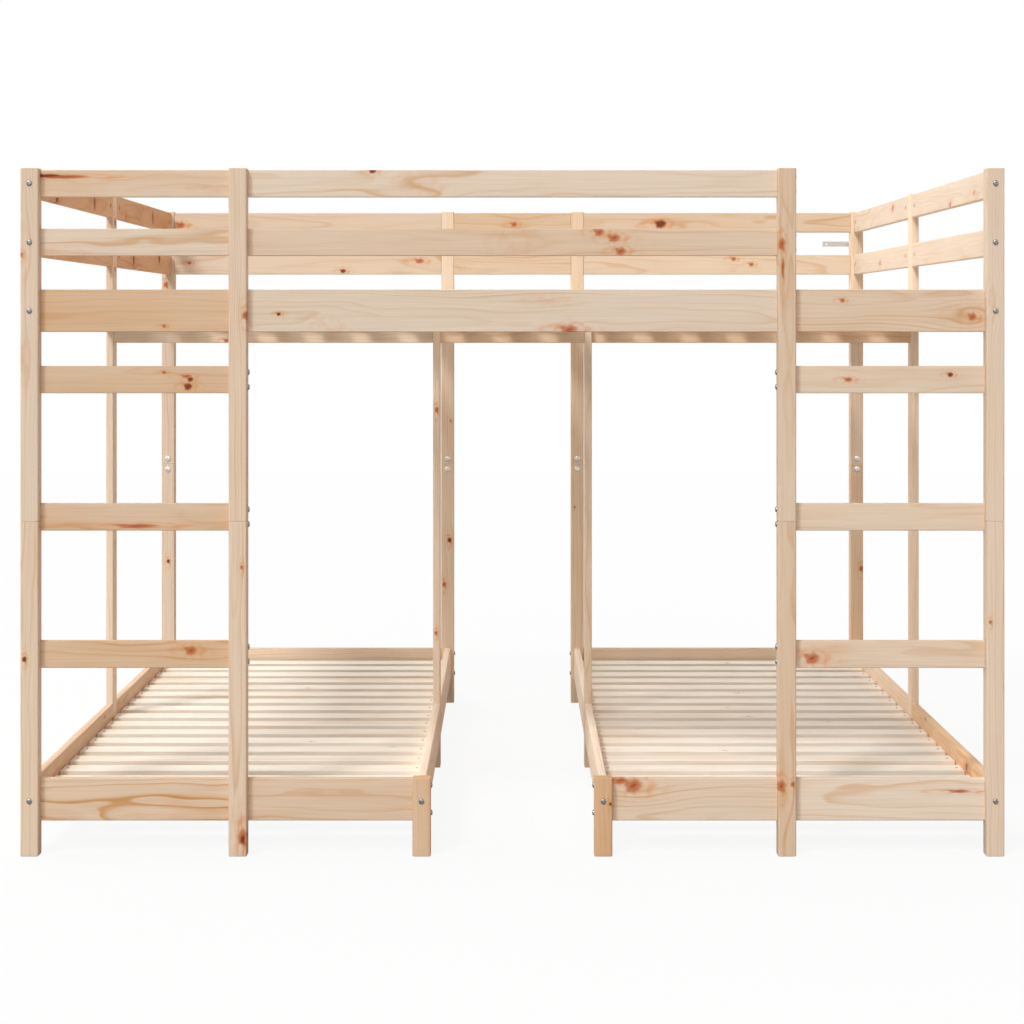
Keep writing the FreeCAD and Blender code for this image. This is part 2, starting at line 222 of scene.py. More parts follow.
NO_KNOT = (100.0, 100.0, 0.0001, 1.0)   # So far off the board that it never shows.
LIGHTNESS_STEP = 0.12   # How much lighter a board is whose tone says 1.
SLAT_VARIETY = 0.3      # Slats differ less from each other than boards do.
GRAIN_LAYERS = ("log", "place", "tone")
KNOT_GROUP = "pine knot"
KNOT_LAYERS = ("knot_a", "knot_b", "knot_c", "knot_d")
KNOT_SHARES = ("Push", "Swell", "Halo", "Core", "Dark")


# ---- shader helpers

MATH, VECTOR, RANGE = "ShaderNodeMath", "ShaderNodeVectorMath", "ShaderNodeMapRange"
NOISE, MIX, BUMP = "ShaderNodeTexNoise", "ShaderNodeMix", "ShaderNodeBump"
SPLIT, JOIN = "ShaderNodeSeparateXYZ", "ShaderNodeCombineXYZ"
STORED, PLACES, RAYS = "ShaderNodeAttribute", "ShaderNodeTexCoord", "ShaderNodeLightPath"
SURFACE, OUTPUT = "ShaderNodeBsdfPrincipled", "ShaderNodeOutputMaterial"
WHITE = (1, 1, 1, 1)


def put(tree, kind, wires=(), operation=None, **settings):
    """Add one shader node, set its options, and give its sockets values or links, by name or from the first on.

    A node stands for its first output.
    """
    made = tree.nodes.new(kind)
    if operation:
        made.operation = operation
    for option, value in settings.items():
        setattr(made, option, value)
    for socket, value in wires.items() if isinstance(wires, dict) else enumerate(wires):
        if isinstance(value, bpy.types.Node):
            value = value.outputs[0]
        if isinstance(value, bpy.types.NodeSocket):
            tree.links.new(value, made.inputs[socket])
        else:
            made.inputs[socket].default_value = value
    return made


def shades(node, stops):
    """Set a colour ramp's stops from pairs of place and grey level."""
    ramp = node.color_ramp
    while len(ramp.elements) < len(stops):
        ramp.elements.new(0.5)
    for element, (place, level) in zip(ramp.elements, stops):
        element.position = place
        element.color = (level, level, level, 1)


def empty_material(name):
    """Start a node material with nothing in it."""
    material = bpy.data.materials.new(name)
    material.use_nodes = True
    material.node_tree.nodes.clear()
    return material, material.node_tree


def knot_group():
    """What one knot adds to those before it: how the rings swing round it, its halo, its core, its dark parts."""
    tree = bpy.data.node_groups.new(KNOT_GROUP, "ShaderNodeTree")
    for name in ("Place", "Knot"):
        tree.interface.new_socket(name, in_out="INPUT", socket_type="NodeSocketVector")
    for name in ("Kind",) + KNOT_SHARES:
        tree.interface.new_socket(name, in_out="INPUT", socket_type="NodeSocketFloat")
    for name in KNOT_SHARES:
        tree.interface.new_socket(name, in_out="OUTPUT", socket_type="NodeSocketFloat")
    given = put(tree, "NodeGroupInput").outputs

    away = put(tree, VECTOR, [given["Place"], given["Knot"]], "SUBTRACT")
    away = put(tree, SPLIT, [away]).outputs
    signed = put(tree, SPLIT, [given["Knot"]]).outputs["Z"]
    radius = put(tree, MATH, [signed], "ABSOLUTE")
    stretch = put(tree, MATH, [given["Kind"]], "ABSOLUTE")
    along = put(tree, MATH, [away["X"], stretch], "DIVIDE")
    flat = put(tree, JOIN, [along, away["Y"]])
    size = put(tree, JOIN, [radius, radius, radius])
    scaled = put(tree, VECTOR, [flat, size], "DIVIDE")

    # The rings swing out over 5 knot lengths along the board and 2.4 knot widths across it.
    spread = put(tree, VECTOR, [scaled, (1 / 5, 1 / 2.4, 0)], "MULTIPLY")
    reach = put(tree, VECTOR, [spread, spread], "DOT_PRODUCT").outputs["Value"]
    reach = put(tree, MATH, [reach, -1.0], "MULTIPLY")
    swell = put(tree, MATH, [reach], "EXPONENT")
    push = put(tree, MATH, [swell, away["Y"]], "MULTIPLY")
    push = put(tree, MATH, [push, 0.9, given["Push"]], "MULTIPLY_ADD")
    swell = put(tree, MATH, [swell, given["Swell"]], "MAXIMUM")

    # The outline is ragged: its places are shifted by a noise as large as half the knot.
    noise = put(tree, NOISE, {"Vector": scaled, "Scale": 0.7, "Detail": 2.0})
    shift = put(tree, VECTOR, [noise.outputs["Color"], (0.5, 0.5, 0.5)], "SUBTRACT")
    ragged = put(tree, VECTOR, [shift, (1.3, 0.9, 0), scaled], "MULTIPLY_ADD")
    edge = put(tree, VECTOR, [ragged], "LENGTH").outputs["Value"]
    streaked = put(tree, VECTOR, [ragged, (0.5, 1, 0)], "MULTIPLY")
    glow = put(tree, VECTOR, [streaked], "LENGTH").outputs["Value"]
    rim = put(tree, MATH, [put(tree, MATH, [edge, 0.9], "SUBTRACT")], "ABSOLUTE")
    faded = {}
    for name, value, near, far in (("core", edge, 0.5, 1.35), ("glow", glow, 0.5, 3.0), ("cloud", noise, 0.75, 0.35),
                                   ("pith", edge, 0.1, 0.5), ("rim", rim, 0.0, 0.28), ("gap", noise, 0.6, 0.4)):
        faded[name] = put(tree, RANGE, {"Value": value, "From Min": near, "From Max": far, "To Min": 1.0,
                                        "To Max": 0.0}, interpolation_type="SMOOTHSTEP")

    # A faint knot has no core. A live one is dark in its pith only, a dead one all over, with a bark ring.
    whole = put(tree, MATH, [signed, 0.0], "GREATER_THAN")
    dead = put(tree, MATH, [given["Kind"], 0.0], "LESS_THAN")
    core = put(tree, MATH, [faded["core"], whole], "MULTIPLY")
    bark = put(tree, MATH, [faded["rim"], faded["gap"]], "MULTIPLY")
    bark = put(tree, MATH, [bark, 0.4], "MULTIPLY")
    dark = put(tree, MATH, [faded["pith"], 0.55], "MULTIPLY")
    dark = put(tree, MATH, [dark, bark], "MAXIMUM")
    dark = put(tree, MATH, [dark, put(tree, MATH, [dead, 0.85], "MULTIPLY")], "MAXIMUM")
    dark = put(tree, MATH, [dark, core], "MULTIPLY")
    halo = put(tree, MATH, [faded["glow"], faded["cloud"]], "MULTIPLY")
    weaker = put(tree, RANGE, {"Value": whole, "To Min": 0.35, "To Max": 1.0})
    halo = put(tree, MATH, [halo, weaker], "MULTIPLY")
    strongest = {name: put(tree, MATH, [value, given[name]], "MAXIMUM")
                 for name, value in (("Halo", halo), ("Core", core), ("Dark", dark))}
    put(tree, "NodeGroupOutput", {"Push": push, "Swell": swell, **strongest})
    return tree


def pine(name, timber, base, contrast):
    """Planed European redwood, the pine of flat-pack beds, under a thin matt lacquer.

    Low-contrast cathedral arches and straight ring lines, a fine silky fibre along the board, slow changes of
    hue, orange halos round reddish knots. The ring lines are a little smoother and glossier than the pale wood.
    """
    knots = bpy.data.node_groups.get(KNOT_GROUP) or knot_group()
    material, tree = empty_material(name)
    log, place, tone = (put(tree, STORED, attribute_name=name).outputs["Vector"] for name in GRAIN_LAYERS)
    end, figure = (put(tree, STORED, attribute_name=name).outputs["Fac"] for name in ("end_grain", "figure"))
    tone = put(tree, SPLIT, [tone]).outputs

    knot = {share: 0.0 for share in KNOT_SHARES}
    for layer in KNOT_LAYERS:
        spot = put(tree, STORED, attribute_name=layer).outputs
        mark = put(tree, "ShaderNodeGroup", {"Place": place, "Knot": spot["Color"], "Kind": spot["Alpha"], **knot},
                   node_tree=knots)
        knot = {share: mark.outputs[share] for share in KNOT_SHARES}

    # Noises stretched along the board, by their repeat in millimetres along and across it. Real fibres are
    # 0.05 mm wide, and are drawn 2.5 mm apart and 150 mm long so that they show.
    noise = {}
    for use, (along, across, detail) in {"wander": (600, 80, 1.0), "ripple": (190, 36, 1.0),
                                         "patches": (330, 50, 1.5), "fibre": (150, 2.5, 3.0)}.items():
        spot = put(tree, VECTOR, [place, (per(along), per(across), per(across))], "MULTIPLY")
        noise[use] = put(tree, NOISE, {"Vector": spot, "W": tone["Z"], "Scale": 1.0, "Detail": detail},
                         noise_dimensions="4D")

    # Growth rings round the pith of the log, which lies a few centimetres off the board.
    section = put(tree, SPLIT, [log]).outputs
    bent = put(tree, MATH, [section["Y"], knot["Push"]], "SUBTRACT")
    radial = put(tree, JOIN, {"Y": bent, "Z": section["Z"]})
    radius = put(tree, VECTOR, [radial], "LENGTH").outputs["Value"]
    radius = put(tree, MATH, [noise["wander"], mm(22), radius], "MULTIPLY_ADD")
    radius = put(tree, MATH, [noise["ripple"], mm(16), radius], "MULTIPLY_ADD")
    phase = put(tree, MATH, [radius, timber.ring_width], "DIVIDE")
    number = put(tree, MATH, [phase], "FLOOR")
    strength = put(tree, "ShaderNodeTexWhiteNoise", {"W": number}, noise_dimensions="1D")
    strength = put(tree, MATH, [strength, 1.9], "POWER")
    strength = put(tree, MATH, [knot["Swell"], 0.6, strength], "MULTIPLY_ADD")
    strength = put(tree, RANGE, {"Value": strength, "To Min": 0.15, "To Max": 1.0})
    profile = put(tree, "ShaderNodeValToRGB", {"Fac": put(tree, MATH, [phase], "FRACT")})
    shades(profile, [(0.0, 0.08), (0.3, 0.0), (0.62, 0.22), (0.86, 1.0), (0.93, 0.9), (1.0, 0.08)])
    patchy = put(tree, RANGE, {"Value": noise["patches"], "From Min": 0.3, "From Max": 0.7, "To Min": 0.45,
                               "To Max": 1.3})
    late = put(tree, MATH, [profile, strength], "MULTIPLY")
    late = put(tree, MATH, [late, patchy], "MULTIPLY")
    rings = put(tree, MATH, [late, contrast], "MULTIPLY")
    rings = put(tree, MATH, [rings, figure], "MULTIPLY")

    # Each board's own warmth, from greyish over tan to heartwood, with slow patches in it.
    warmth = put(tree, MATH, [noise["patches"], 1.5, -0.75], "MULTIPLY_ADD")
    warmth = put(tree, MATH, [warmth, tone["Y"]], "ADD")
    colour = (*base, 1)
    for near, far, shade in ((0.0, -1.0, timber.grey_wood), (0.0, 1.5, timber.tan_wood),
                             (1.6, 3.0, timber.heart_wood)):
        share = put(tree, RANGE, {"Value": warmth, "From Min": near, "From Max": far})
        colour = put(tree, MIX, {"Factor": share, 6: colour, 7: (*shade, 1)}, data_type="RGBA").outputs[2]
    darker = [late / early for late, early in zip(timber.late_wood, timber.early_wood)]
    colour = put(tree, MIX, {"Factor": rings, 6: colour, 7: (*darker, 1)}, data_type="RGBA",
                 blend_type="MULTIPLY").outputs[2]
    silk = put(tree, RANGE, {"Value": noise["fibre"], "From Min": 0.25, "From Max": 0.75, "To Min": 0.93,
                             "To Max": 1.07})
    light = put(tree, MATH, [tone["X"], LIGHTNESS_STEP, 1.0], "MULTIPLY_ADD")
    light = put(tree, MATH, [light, silk], "MULTIPLY")
    colour = put(tree, VECTOR, {0: colour, "Scale": light}, "SCALE")
    # Sawn ends drink more of the lacquer and are darker. The slats' long sides get a little of this darkening, partly
    # as painted shade between the slats.
    for share, most, shade in ((knot["Halo"], 0.75, timber.knot_halo), (knot["Core"], 0.8, timber.knot_core),
                               (knot["Dark"], 1.0, timber.knot_dark), (end, 0.35, timber.late_wood)):
        share = put(tree, MATH, [share, most], "MULTIPLY")
        colour = put(tree, MIX, {"Factor": share, 6: colour, 7: (*shade, 1)}, data_type="RGBA").outputs[2]

    rough = put(tree, RANGE, {"Value": late, "To Min": 0.56, "To Max": 0.46})
    height = put(tree, MATH, [late, 0.4, noise["fibre"]], "MULTIPLY_ADD")
    bump = put(tree, BUMP, {"Height": height, "Strength": 0.25, "Distance": mm(0.25)})
    wood = put(tree, SURFACE, {"Base Color": colour, "Roughness": rough, "Normal": bump, "IOR": 1.5,
                               "Specular IOR Level": 0.1})
    put(tree, OUTPUT, {"Surface": wood})
    return material


def zinc_steel(name, dull, bright):
    """Bright zinc-plated steel, as on furniture bolts: a cool grey metal with faint cloudy spangle."""
    material, tree = empty_material(name)
    place = put(tree, PLACES).outputs["Object"]
    cloud = put(tree, NOISE, {"Vector": place, "Scale": per(3), "Detail": 2.0})
    colour = put(tree, MIX, {"Factor": cloud, 6: (*paint(dull), 1), 7: (*paint(bright), 1)}, data_type="RGBA")
    rough = put(tree, RANGE, {"Value": cloud, "To Min": 0.24, "To Max": 0.42})
    steel = put(tree, SURFACE, {"Base Color": colour.outputs[2], "Roughness": rough, "Metallic": 1.0})
    put(tree, OUTPUT, {"Surface": steel})
    return material


def coated_steel():
    """Light grey powder-coated steel strip: an even coat with a fine orange-peel surface."""
    material, tree = empty_material("powder_coated_steel")
    place = put(tree, PLACES).outputs["Object"]
    peel = put(tree, NOISE, {"Vector": place, "Scale": per(1.2), "Detail": 1.0})
    colour = put(tree, MIX, {"Factor": peel, 6: (*paint("#D6D7D8"), 1), 7: (*paint("#E2E3E4"), 1)}, data_type="RGBA")
    bump = put(tree, BUMP, {"Height": peel, "Strength": 0.3, "Distance": mm(0.05)})
    coat = put(tree, SURFACE, {"Base Color": colour.outputs[2], "Roughness": 0.4, "Normal": bump})
    put(tree, OUTPUT, {"Surface": coat})
    return material


def beech():
    """Turned beech dowel, untreated: pinkish tan with short fine darker flecks along the dowel."""
    material, tree = empty_material("turned_beech")
    place = put(tree, PLACES).outputs["Object"]
    fleck = put(tree, VECTOR, [place, (per(1.5), per(1.5), per(9))], "MULTIPLY")
    fleck = put(tree, NOISE, {"Vector": fleck, "Scale": 1.0, "Detail": 2.0})
    colour = put(tree, MIX, {"Factor": fleck, 6: (*paint("#D2AE86"), 1), 7: (*paint("#B68A60"), 1)}, data_type="RGBA")
    wood = put(tree, SURFACE, {"Base Color": colour.outputs[2], "Roughness": 0.6})
    put(tree, OUTPUT, {"Surface": wood})
    return material


FINISHES = {}


def finish_named(context, name):
    """The bed's finishes, each made once."""
    timber = context.scene.bunkbed_timber
    makers = {
        "pine": lambda: pine("lacquered_pine", timber, timber.early_wood, timber.ring_contrast),
        "pine_slats": lambda: pine("planed_pine_slats", timber, timber.slat_wood, timber.ring_contrast * 0.5),
        # Both zinc finishes are one metal: the first is darkened as painted shade, as the front bolts look in shade,
        # and the second is lightened as painted light for the seam bolts.
        "zinc_steel": lambda: zinc_steel("zinc_plated_steel", "#7A7876", "#A6A39F"),
        "zinc_steel_painted_lighter": lambda: zinc_steel("polished_zinc_plated_steel", "#C6C2BC", "#F0ECE6"),
        "bracket_steel": coated_steel,
        "beech": beech,
    }
    if name not in FINISHES:
        FINISHES[name] = makers[name]()
    return FINISHES[name]


# ---- modelling helpers

def only(context, piece):
    """Select one object alone and make it the active one."""
    bpy.ops.object.select_all(action="DESELECT")
    piece.select_set(True)
    context.view_layer.objects.active = piece


def select_where(piece, parts, test):
    """In edit mode, select the vertices, edges or faces of a piece that pass a test."""
    bpy.ops.mesh.select_all(action="DESELECT")
    work = bmesh.from_edit_mesh(piece.data)
    for part in getattr(work, parts):
        part.select_set(test(part))
    bmesh.update_edit_mesh(piece.data)


def welded_copy(context, node, name):
    """Copy a CAD node as one welded mesh with whole flat faces, ready to be worked."""
    piece = bpy.data.objects.new(name, NODES[node].data.copy())
    context.scene.collection.objects.link(piece)
    piece.data.materials.clear()
    only(context, piece)
    if piece.data.has_custom_normals:
        bpy.ops.mesh.customdata_custom_splitnormals_clear()
    bpy.ops.object.mode_set(mode="EDIT")
    bpy.ops.mesh.select_all(action="SELECT")
    bpy.ops.mesh.remove_doubles(threshold=mm(0.01))
    bpy.ops.mesh.dissolve_limited(angle_limit=math.radians(1))
    bpy.ops.mesh.select_all(action="DESELECT")
    bpy.ops.object.mode_set(mode="OBJECT")
    return piece


def separate_bodies(mesh):
    """List a mesh's loose bodies, top first: their vertices, lowest corner and highest corner."""
    leader = list(range(len(mesh.vertices)))

    def head(index):
        while leader[index] != index:
            leader[index] = leader[leader[index]]
            index = leader[index]
        return index

    for edge in mesh.edges:
        leader[head(edge.vertices[0])] = head(edge.vertices[1])
    groups = {}
    for vertex in mesh.vertices:
        groups.setdefault(head(vertex.index), []).append(vertex.index)
    bodies = []
    for members in groups.values():
        points = [mesh.vertices[i].co for i in members]
        low = Vector([min(p[k] for p in points) for k in range(3)])
        high = Vector([max(p[k] for p in points) for k in range(3)])
        bodies.append((members, low, high))
    bodies.sort(key=lambda b: (-round(b[2].z, 3), round(b[1].x, 3), round(b[1].y, 3)))
    return bodies


def knots_for(node, bodies, number, chance, axes, centre, size):
    """The knots of one board: those that the bed shows, or else a few of the board's own."""
    along, across, _ = axes
    found = []
    for level, height, radius, *kind in KNOTS.get(node, ()):
        spot = {2: mm(height), (1 if size.y > size.x and size.y > size.z or "side" in node else 0): mm(level)}
        home = min(range(len(bodies)), key=lambda b: (round(sum(
            max(bodies[b][1][k] - v, v - bodies[b][2][k], 0) for k, v in spot.items()), 4),
            -abs(bodies[b][1].x + bodies[b][2].x)))
        if home == number:
            found.append((spot.get(along, centre[along]) - centre[along],
                          spot.get(across, centre[across]) - centre[across], mm(SOFT_EDGE * radius),
                          *(kind or (USUAL_OVAL,))))
    if not found and node not in KNOTS:
        odds = (6, 3, 0) if "slat" in node else (3, 4, 2)       # of no knot, one and two
        for _ in range(chance.choices((0, 1, 2), odds)[0]):
            found.append((chance.uniform(-0.45, 0.45) * size[along], chance.uniform(-0.42, 0.42) * size[across],
                          mm(chance.uniform(2.2, 6)), chance.choice((1.2, 1.5, -1.2))))
    return (found + [NO_KNOT] * len(KNOT_LAYERS))[:len(KNOT_LAYERS)]


def write_grain(piece, node):
    """Give every board of a piece its own log, tone and knots, as values on its vertices."""
    mesh = piece.data
    bodies = separate_bodies(mesh)
    layers = {name: [0.0] * (3 * len(mesh.vertices)) for name in GRAIN_LAYERS}
    knot_layers = {name: [0.0] * (4 * len(mesh.vertices)) for name in KNOT_LAYERS}
    figure = [1.0] * len(mesh.vertices)
    body_of = {}
    directions = []
    for number, (members, low, high) in enumerate(bodies):
        chance = random.Random(f"{node}:{number}")
        size, centre = high - low, (low + high) / 2
        axes = sorted(range(3), key=lambda k: (-round(size[k], 4), k))
        if "inner_mid" in node:     # Sawn so that the knots come out on the narrow edges.
            axes = [2, 0, 1]
        along, across, through = axes
        directions.append(along)
        # A square bar has its pith on any side, and a board above or below it. Its lean draws the arches.
        if size[across] - size[through] < mm(3):
            depth, turn = mm(chance.uniform(30, 85)), chance.uniform(0, 2 * math.pi)
            pith = (depth * math.cos(turn), depth * math.sin(turn))
        else:
            pith = (chance.uniform(-0.45, 0.45) * size[across],
                    chance.choice((-1, 1)) * (size[through] / 2 + mm(chance.uniform(28, 75))))
        lean = (chance.uniform(-0.004, 0.004), chance.choice((-1, 1)) * chance.uniform(0.004, 0.018))
        listed = TONES.get(node, TONES.get(node.rpartition("_")[0], ()))
        spread = SLAT_VARIETY if "slats" in node else 1
        shade = listed[number] if number < len(listed) else (spread * chance.uniform(-0.5, 0.5),
                                                             spread * chance.uniform(-0.6, 0.7))
        tone = (*shade[:2], chance.uniform(0, 40))
        bold = shade[2] if len(shade) > 2 else 1.0
        knots = knots_for(node, bodies, number, chance, axes, centre, size)
        for index in members:
            body_of[index] = number
            offset = mesh.vertices[index].co - centre
            u, v, w = offset[along], offset[across], offset[through]
            spot = 3 * index
            layers["log"][spot:spot + 3] = (u, v - pith[0] - lean[0] * u, w - pith[1] - lean[1] * u)
            layers["place"][spot:spot + 3] = (u, v, w)
            layers["tone"][spot:spot + 3] = tone
            figure[index] = bold
            for layer, knot in zip(KNOT_LAYERS, knots):
                knot_layers[layer][4 * index:4 * index + 4] = knot
    for name, values in layers.items():
        mesh.attributes.new(name, "FLOAT_VECTOR", "POINT").data.foreach_set("vector", values)
    for name, values in knot_layers.items():
        mesh.attributes.new(name, "FLOAT_COLOR", "POINT").data.foreach_set("color", values)
    mesh.attributes.new("figure", "FLOAT", "POINT").data.foreach_set("value", figure)
    # The ends of every board are rough from the saw and so darker. The long sides of the slats are darkened a little
    # too, partly as sawn wood and partly as painted shade in the gaps between the slats.
    sawn_and_shaded_slat_side = 0.35 if "slats" in node else 0.0
    ends = [1.0 if abs(face.normal[directions[body_of[face.vertices[0]]]]) > 0.8
            else sawn_and_shaded_slat_side if abs(face.normal.z) < 0.5 else 0.0 for face in mesh.polygons]
    mesh.attributes.new("end_grain", "FLOAT", "FACE").data.foreach_set("value", ends)


def soften(context, piece):
    """Smooth the eased edges while the wide faces stay flat."""
    only(context, piece)
    bpy.ops.object.shade_smooth_by_angle(angle=math.radians(50))
    piece.modifiers.new("flat faces", "WEIGHTED_NORMAL").keep_sharp = True
    bpy.ops.object.modifier_apply(modifier="flat faces")


def dress_timber(context, nodes, slot="pine", shape=None):
    """Make the finished timber of CAD nodes: worked edges, grain, finish."""
    for node in nodes:
        piece = welded_copy(context, node, node + "_timber")
        if shape:
            shape(context, piece)
        write_grain(piece, node)
        piece.data.materials.append(finish_named(context, slot))
        soften(context, piece)
        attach(piece, "root")
        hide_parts(node)


def ease_post_ends(context, piece):
    """Chamfer the outline of a post's two sawn ends."""
    low, high = (Vector(c) for c in (piece.bound_box[0], piece.bound_box[6]))
    centre = (low + high) / 2
    near_side = 0.44    # share of the width from the middle
    two_ends = 1.2      # The normals of two level faces add up to more.

    def on_outline(edge):
        heights = [v.co.z for v in edge.verts]
        middle = (edge.verts[0].co + edge.verts[1].co) / 2
        at_end = any(all(abs(z - level) < mm(0.05) for z in heights) for level in (low.z, high.z))
        outward = max(abs(middle.x - centre.x) / (high.x - low.x), abs(middle.y - centre.y) / (high.y - low.y))
        return (at_end and outward > near_side and len(edge.link_faces) == 2
                and abs(edge.link_faces[0].normal.z) + abs(edge.link_faces[1].normal.z) < two_ends)

    bpy.ops.object.mode_set(mode="EDIT")
    select_where(piece, "edges", on_outline)
    bpy.ops.mesh.bevel(offset=context.scene.bunkbed_timber.end_ease, segments=1, affect="EDGES")
    bpy.ops.object.mode_set(mode="OBJECT")


def ease_slats(context, piece):
    """Round all the edges of the slats a little."""
    bpy.ops.object.mode_set(mode="EDIT")
    bpy.ops.mesh.select_all(action="SELECT")
    bpy.ops.mesh.bevel(offset=context.scene.bunkbed_timber.slat_ease, segments=2, affect="EDGES")
    bpy.ops.object.mode_set(mode="OBJECT")


def model_bolt(context, shank_length, head_width, finish):
    """Model one domed bolt with a hexagon socket, head up, its seat at the origin."""
    sizes = context.scene.bunkbed_hardware
    radius, height = head_width / 2, sizes.head_height
    dome, key_middle = 0.8 * height, 0.95 * height
    bpy.ops.object.select_all(action="DESELECT")
    bpy.ops.mesh.primitive_cylinder_add(vertices=12, radius=radius, depth=height, location=(0, 0, height / 2))
    bolt = context.active_object
    bpy.ops.object.transform_apply(location=True, rotation=True, scale=True)
    bpy.ops.object.mode_set(mode="EDIT")
    select_where(bolt, "edges", lambda edge: all(v.co.z > height / 2 for v in edge.verts))
    bpy.ops.mesh.bevel(offset=dome, segments=3, profile=0.5, affect="EDGES")
    select_where(bolt, "faces", lambda face: face.normal.z < -0.9)
    bpy.ops.mesh.inset(thickness=radius - sizes.shank_width / 2)
    bpy.ops.mesh.extrude_region_move(TRANSFORM_OT_translate={"value": (0, 0, -shank_length)})
    bpy.ops.object.mode_set(mode="OBJECT")
    bpy.ops.object.select_all(action="DESELECT")
    bpy.ops.mesh.primitive_cylinder_add(vertices=6, radius=sizes.key_width / math.sqrt(3), depth=height,
                                        location=(0, 0, key_middle))
    key = context.active_object
    only(context, bolt)
    socket = bolt.modifiers.new("socket", "BOOLEAN")
    socket.operation, socket.solver, socket.object = "DIFFERENCE", "EXACT", key
    bpy.ops.object.modifier_apply(modifier="socket")
    bpy.data.objects.remove(key)
    bpy.ops.object.shade_smooth_by_angle(angle=math.radians(40))
    bolt.data.materials.clear()
    bolt.data.materials.append(finish_named(context, finish))
    return bolt


def set_copies(context, master, name, places):
    """Copy a modelled fastener to its places, each given by its seat and the way its head looks, as one piece."""
    copies = []
    for seat, way in places:
        copy = bpy.data.objects.new(name, master.data.copy())
        context.scene.collection.objects.link(copy)
        copy.matrix_world = Matrix.Translation(seat) @ Vector(way).to_track_quat("Z", "Y").to_matrix().to_4x4()
        copies.append(copy)
    bpy.data.objects.remove(master)
    bpy.ops.object.select_all(action="DESELECT")
    for copy in copies:
        copy.select_set(True)
    context.view_layer.objects.active = copies[0]
    bpy.ops.object.transform_apply(location=True, rotation=True, scale=True)
    bpy.ops.object.join()
    copies[0].name = name
    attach(copies[0], "root")
    return copies[0]


def bolt_places(context, node):
    """Read from a CAD node where each of its bolts sits, which way its head looks, and the shank's length."""
    sizes = context.scene.bunkbed_hardware
    measured = welded_copy(context, node, "measured")
    places, shank = [], 0
    for members, low, high in separate_bodies(measured.data):
        size, centre = high - low, (low + high) / 2
        along = max(range(3), key=lambda k: size[k])
        points = [measured.data.vertices[i].co for i in members]
        across = [k for k in range(3) if k != along]
        wide = {}
        for side, level in ((-1, low[along]), (1, high[along])):
            wide[side] = max(math.dist([p[k] for k in across], [centre[k] for k in across])
                             for p in points if abs(p[along] - level) < sizes.head_height * 1.1)
        side = 1 if wide[1] > wide[-1] else -1
        way = Vector([side if k == along else 0 for k in range(3)])
        seat = centre + way * (size[along] / 2 - sizes.head_height)
        shank = size[along] - sizes.head_height
        places.append((seat, way))
    bpy.data.objects.remove(measured)
    return places, shank


def dress_bolts(context, node):
    """Replace a CAD node's plain bolts by modelled ones in the same places."""
    places, shank = bolt_places(context, node)
    sizes = context.scene.bunkbed_hardware
    # The seam bolts get the zinc painted lighter, as painted light; the others get the zinc darkened as painted
    # shade.
    width, finish = ((sizes.seam_head_width, "zinc_steel_painted_lighter") if node == "seam_bolts"
                     else (sizes.head_width, "zinc_steel"))
    piece = set_copies(context, model_bolt(context, shank, width, finish), node + "_domed", places)
    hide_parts(node)


# ---- the pieces

class BUNKBED_OT_posts(bpy.types.Operator):
    """Corner, ladder, back inner and mid posts in their two lengths, and the short front legs"""
    bl_idname = "bunkbed.posts"
    bl_label = "Posts and legs"

    def execute(self, context):
        for node in sorted(NODES):
            if "post" in node and "rod" not in node and "dowel" not in node or node.endswith("short_leg"):
                dress_timber(context, [node], shape=None if "mid_post" in node else ease_post_ends)
        return {"FINISHED"}


class BUNKBED_OT_front_rails(bpy.types.Operator):
    """Guard rails and bed boards of the front"""
    bl_idname = "bunkbed.front_rails"
    bl_label = "Front rails"

    def execute(self, context):
        dress_timber(context, [node for node in sorted(NODES) if node.startswith("front_")])
        return {"FINISHED"}


class BUNKBED_OT_ladders(bpy.types.Operator):
    """The three rungs of each built-in ladder"""
    bl_idname = "bunkbed.ladders"
    bl_label = "Ladder rungs"

    def execute(self, context):
        dress_timber(context, ("left_ladder_rungs", "right_ladder_rungs"))
        return {"FINISHED"}


class BUNKBED_OT_back_and_side_rails(bpy.types.Operator):
    """Guard rails and bed boards of the back and the two sides"""
    bl_idname = "bunkbed.back_and_side_rails"
    bl_label = "Back and side rails"

    def execute(self, context):
        dress_timber(context, ("back_guard_rails", "back_bed_boards", "left_side_guard_rails", "left_side_bed_boards",
                               "right_side_guard_rails", "right_side_bed_boards"))
        return {"FINISHED"}


class BUNKBED_OT_low_boards(bpy.types.Operator):
    """Boards round the two low beds"""
    bl_idname = "bunkbed.low_boards"
    bl_label = "Low bed boards"

    def execute(self, context):
        dress_timber(context, ("left_low_front_boards", "right_low_front_boards", "low_back_boards",
                               "left_low_side_boards", "right_low_side_boards"))
        return {"FINISHED"}


class BUNKBED_OT_slat_supports(bpy.types.Operator):
    """Centre beam of the upper bed and the ledger strips that carry all slats"""
    bl_idname = "bunkbed.slat_supports"
    bl_label = "Beam and ledgers"

    def execute(self, context):
        dress_timber(context, ("centre_beam", "low_bed_ledgers", "upper_bed_ledgers"))
        return {"FINISHED"}


class BUNKBED_OT_slats(bpy.types.Operator):
    """Slats of the two low beds and the two rows of the upper bed"""
    bl_idname = "bunkbed.slats"
    bl_label = "Slats"

    def execute(self, context):
        dress_timber(context, SLAT_NODES, "pine_slats", ease_slats)
        return {"FINISHED"}


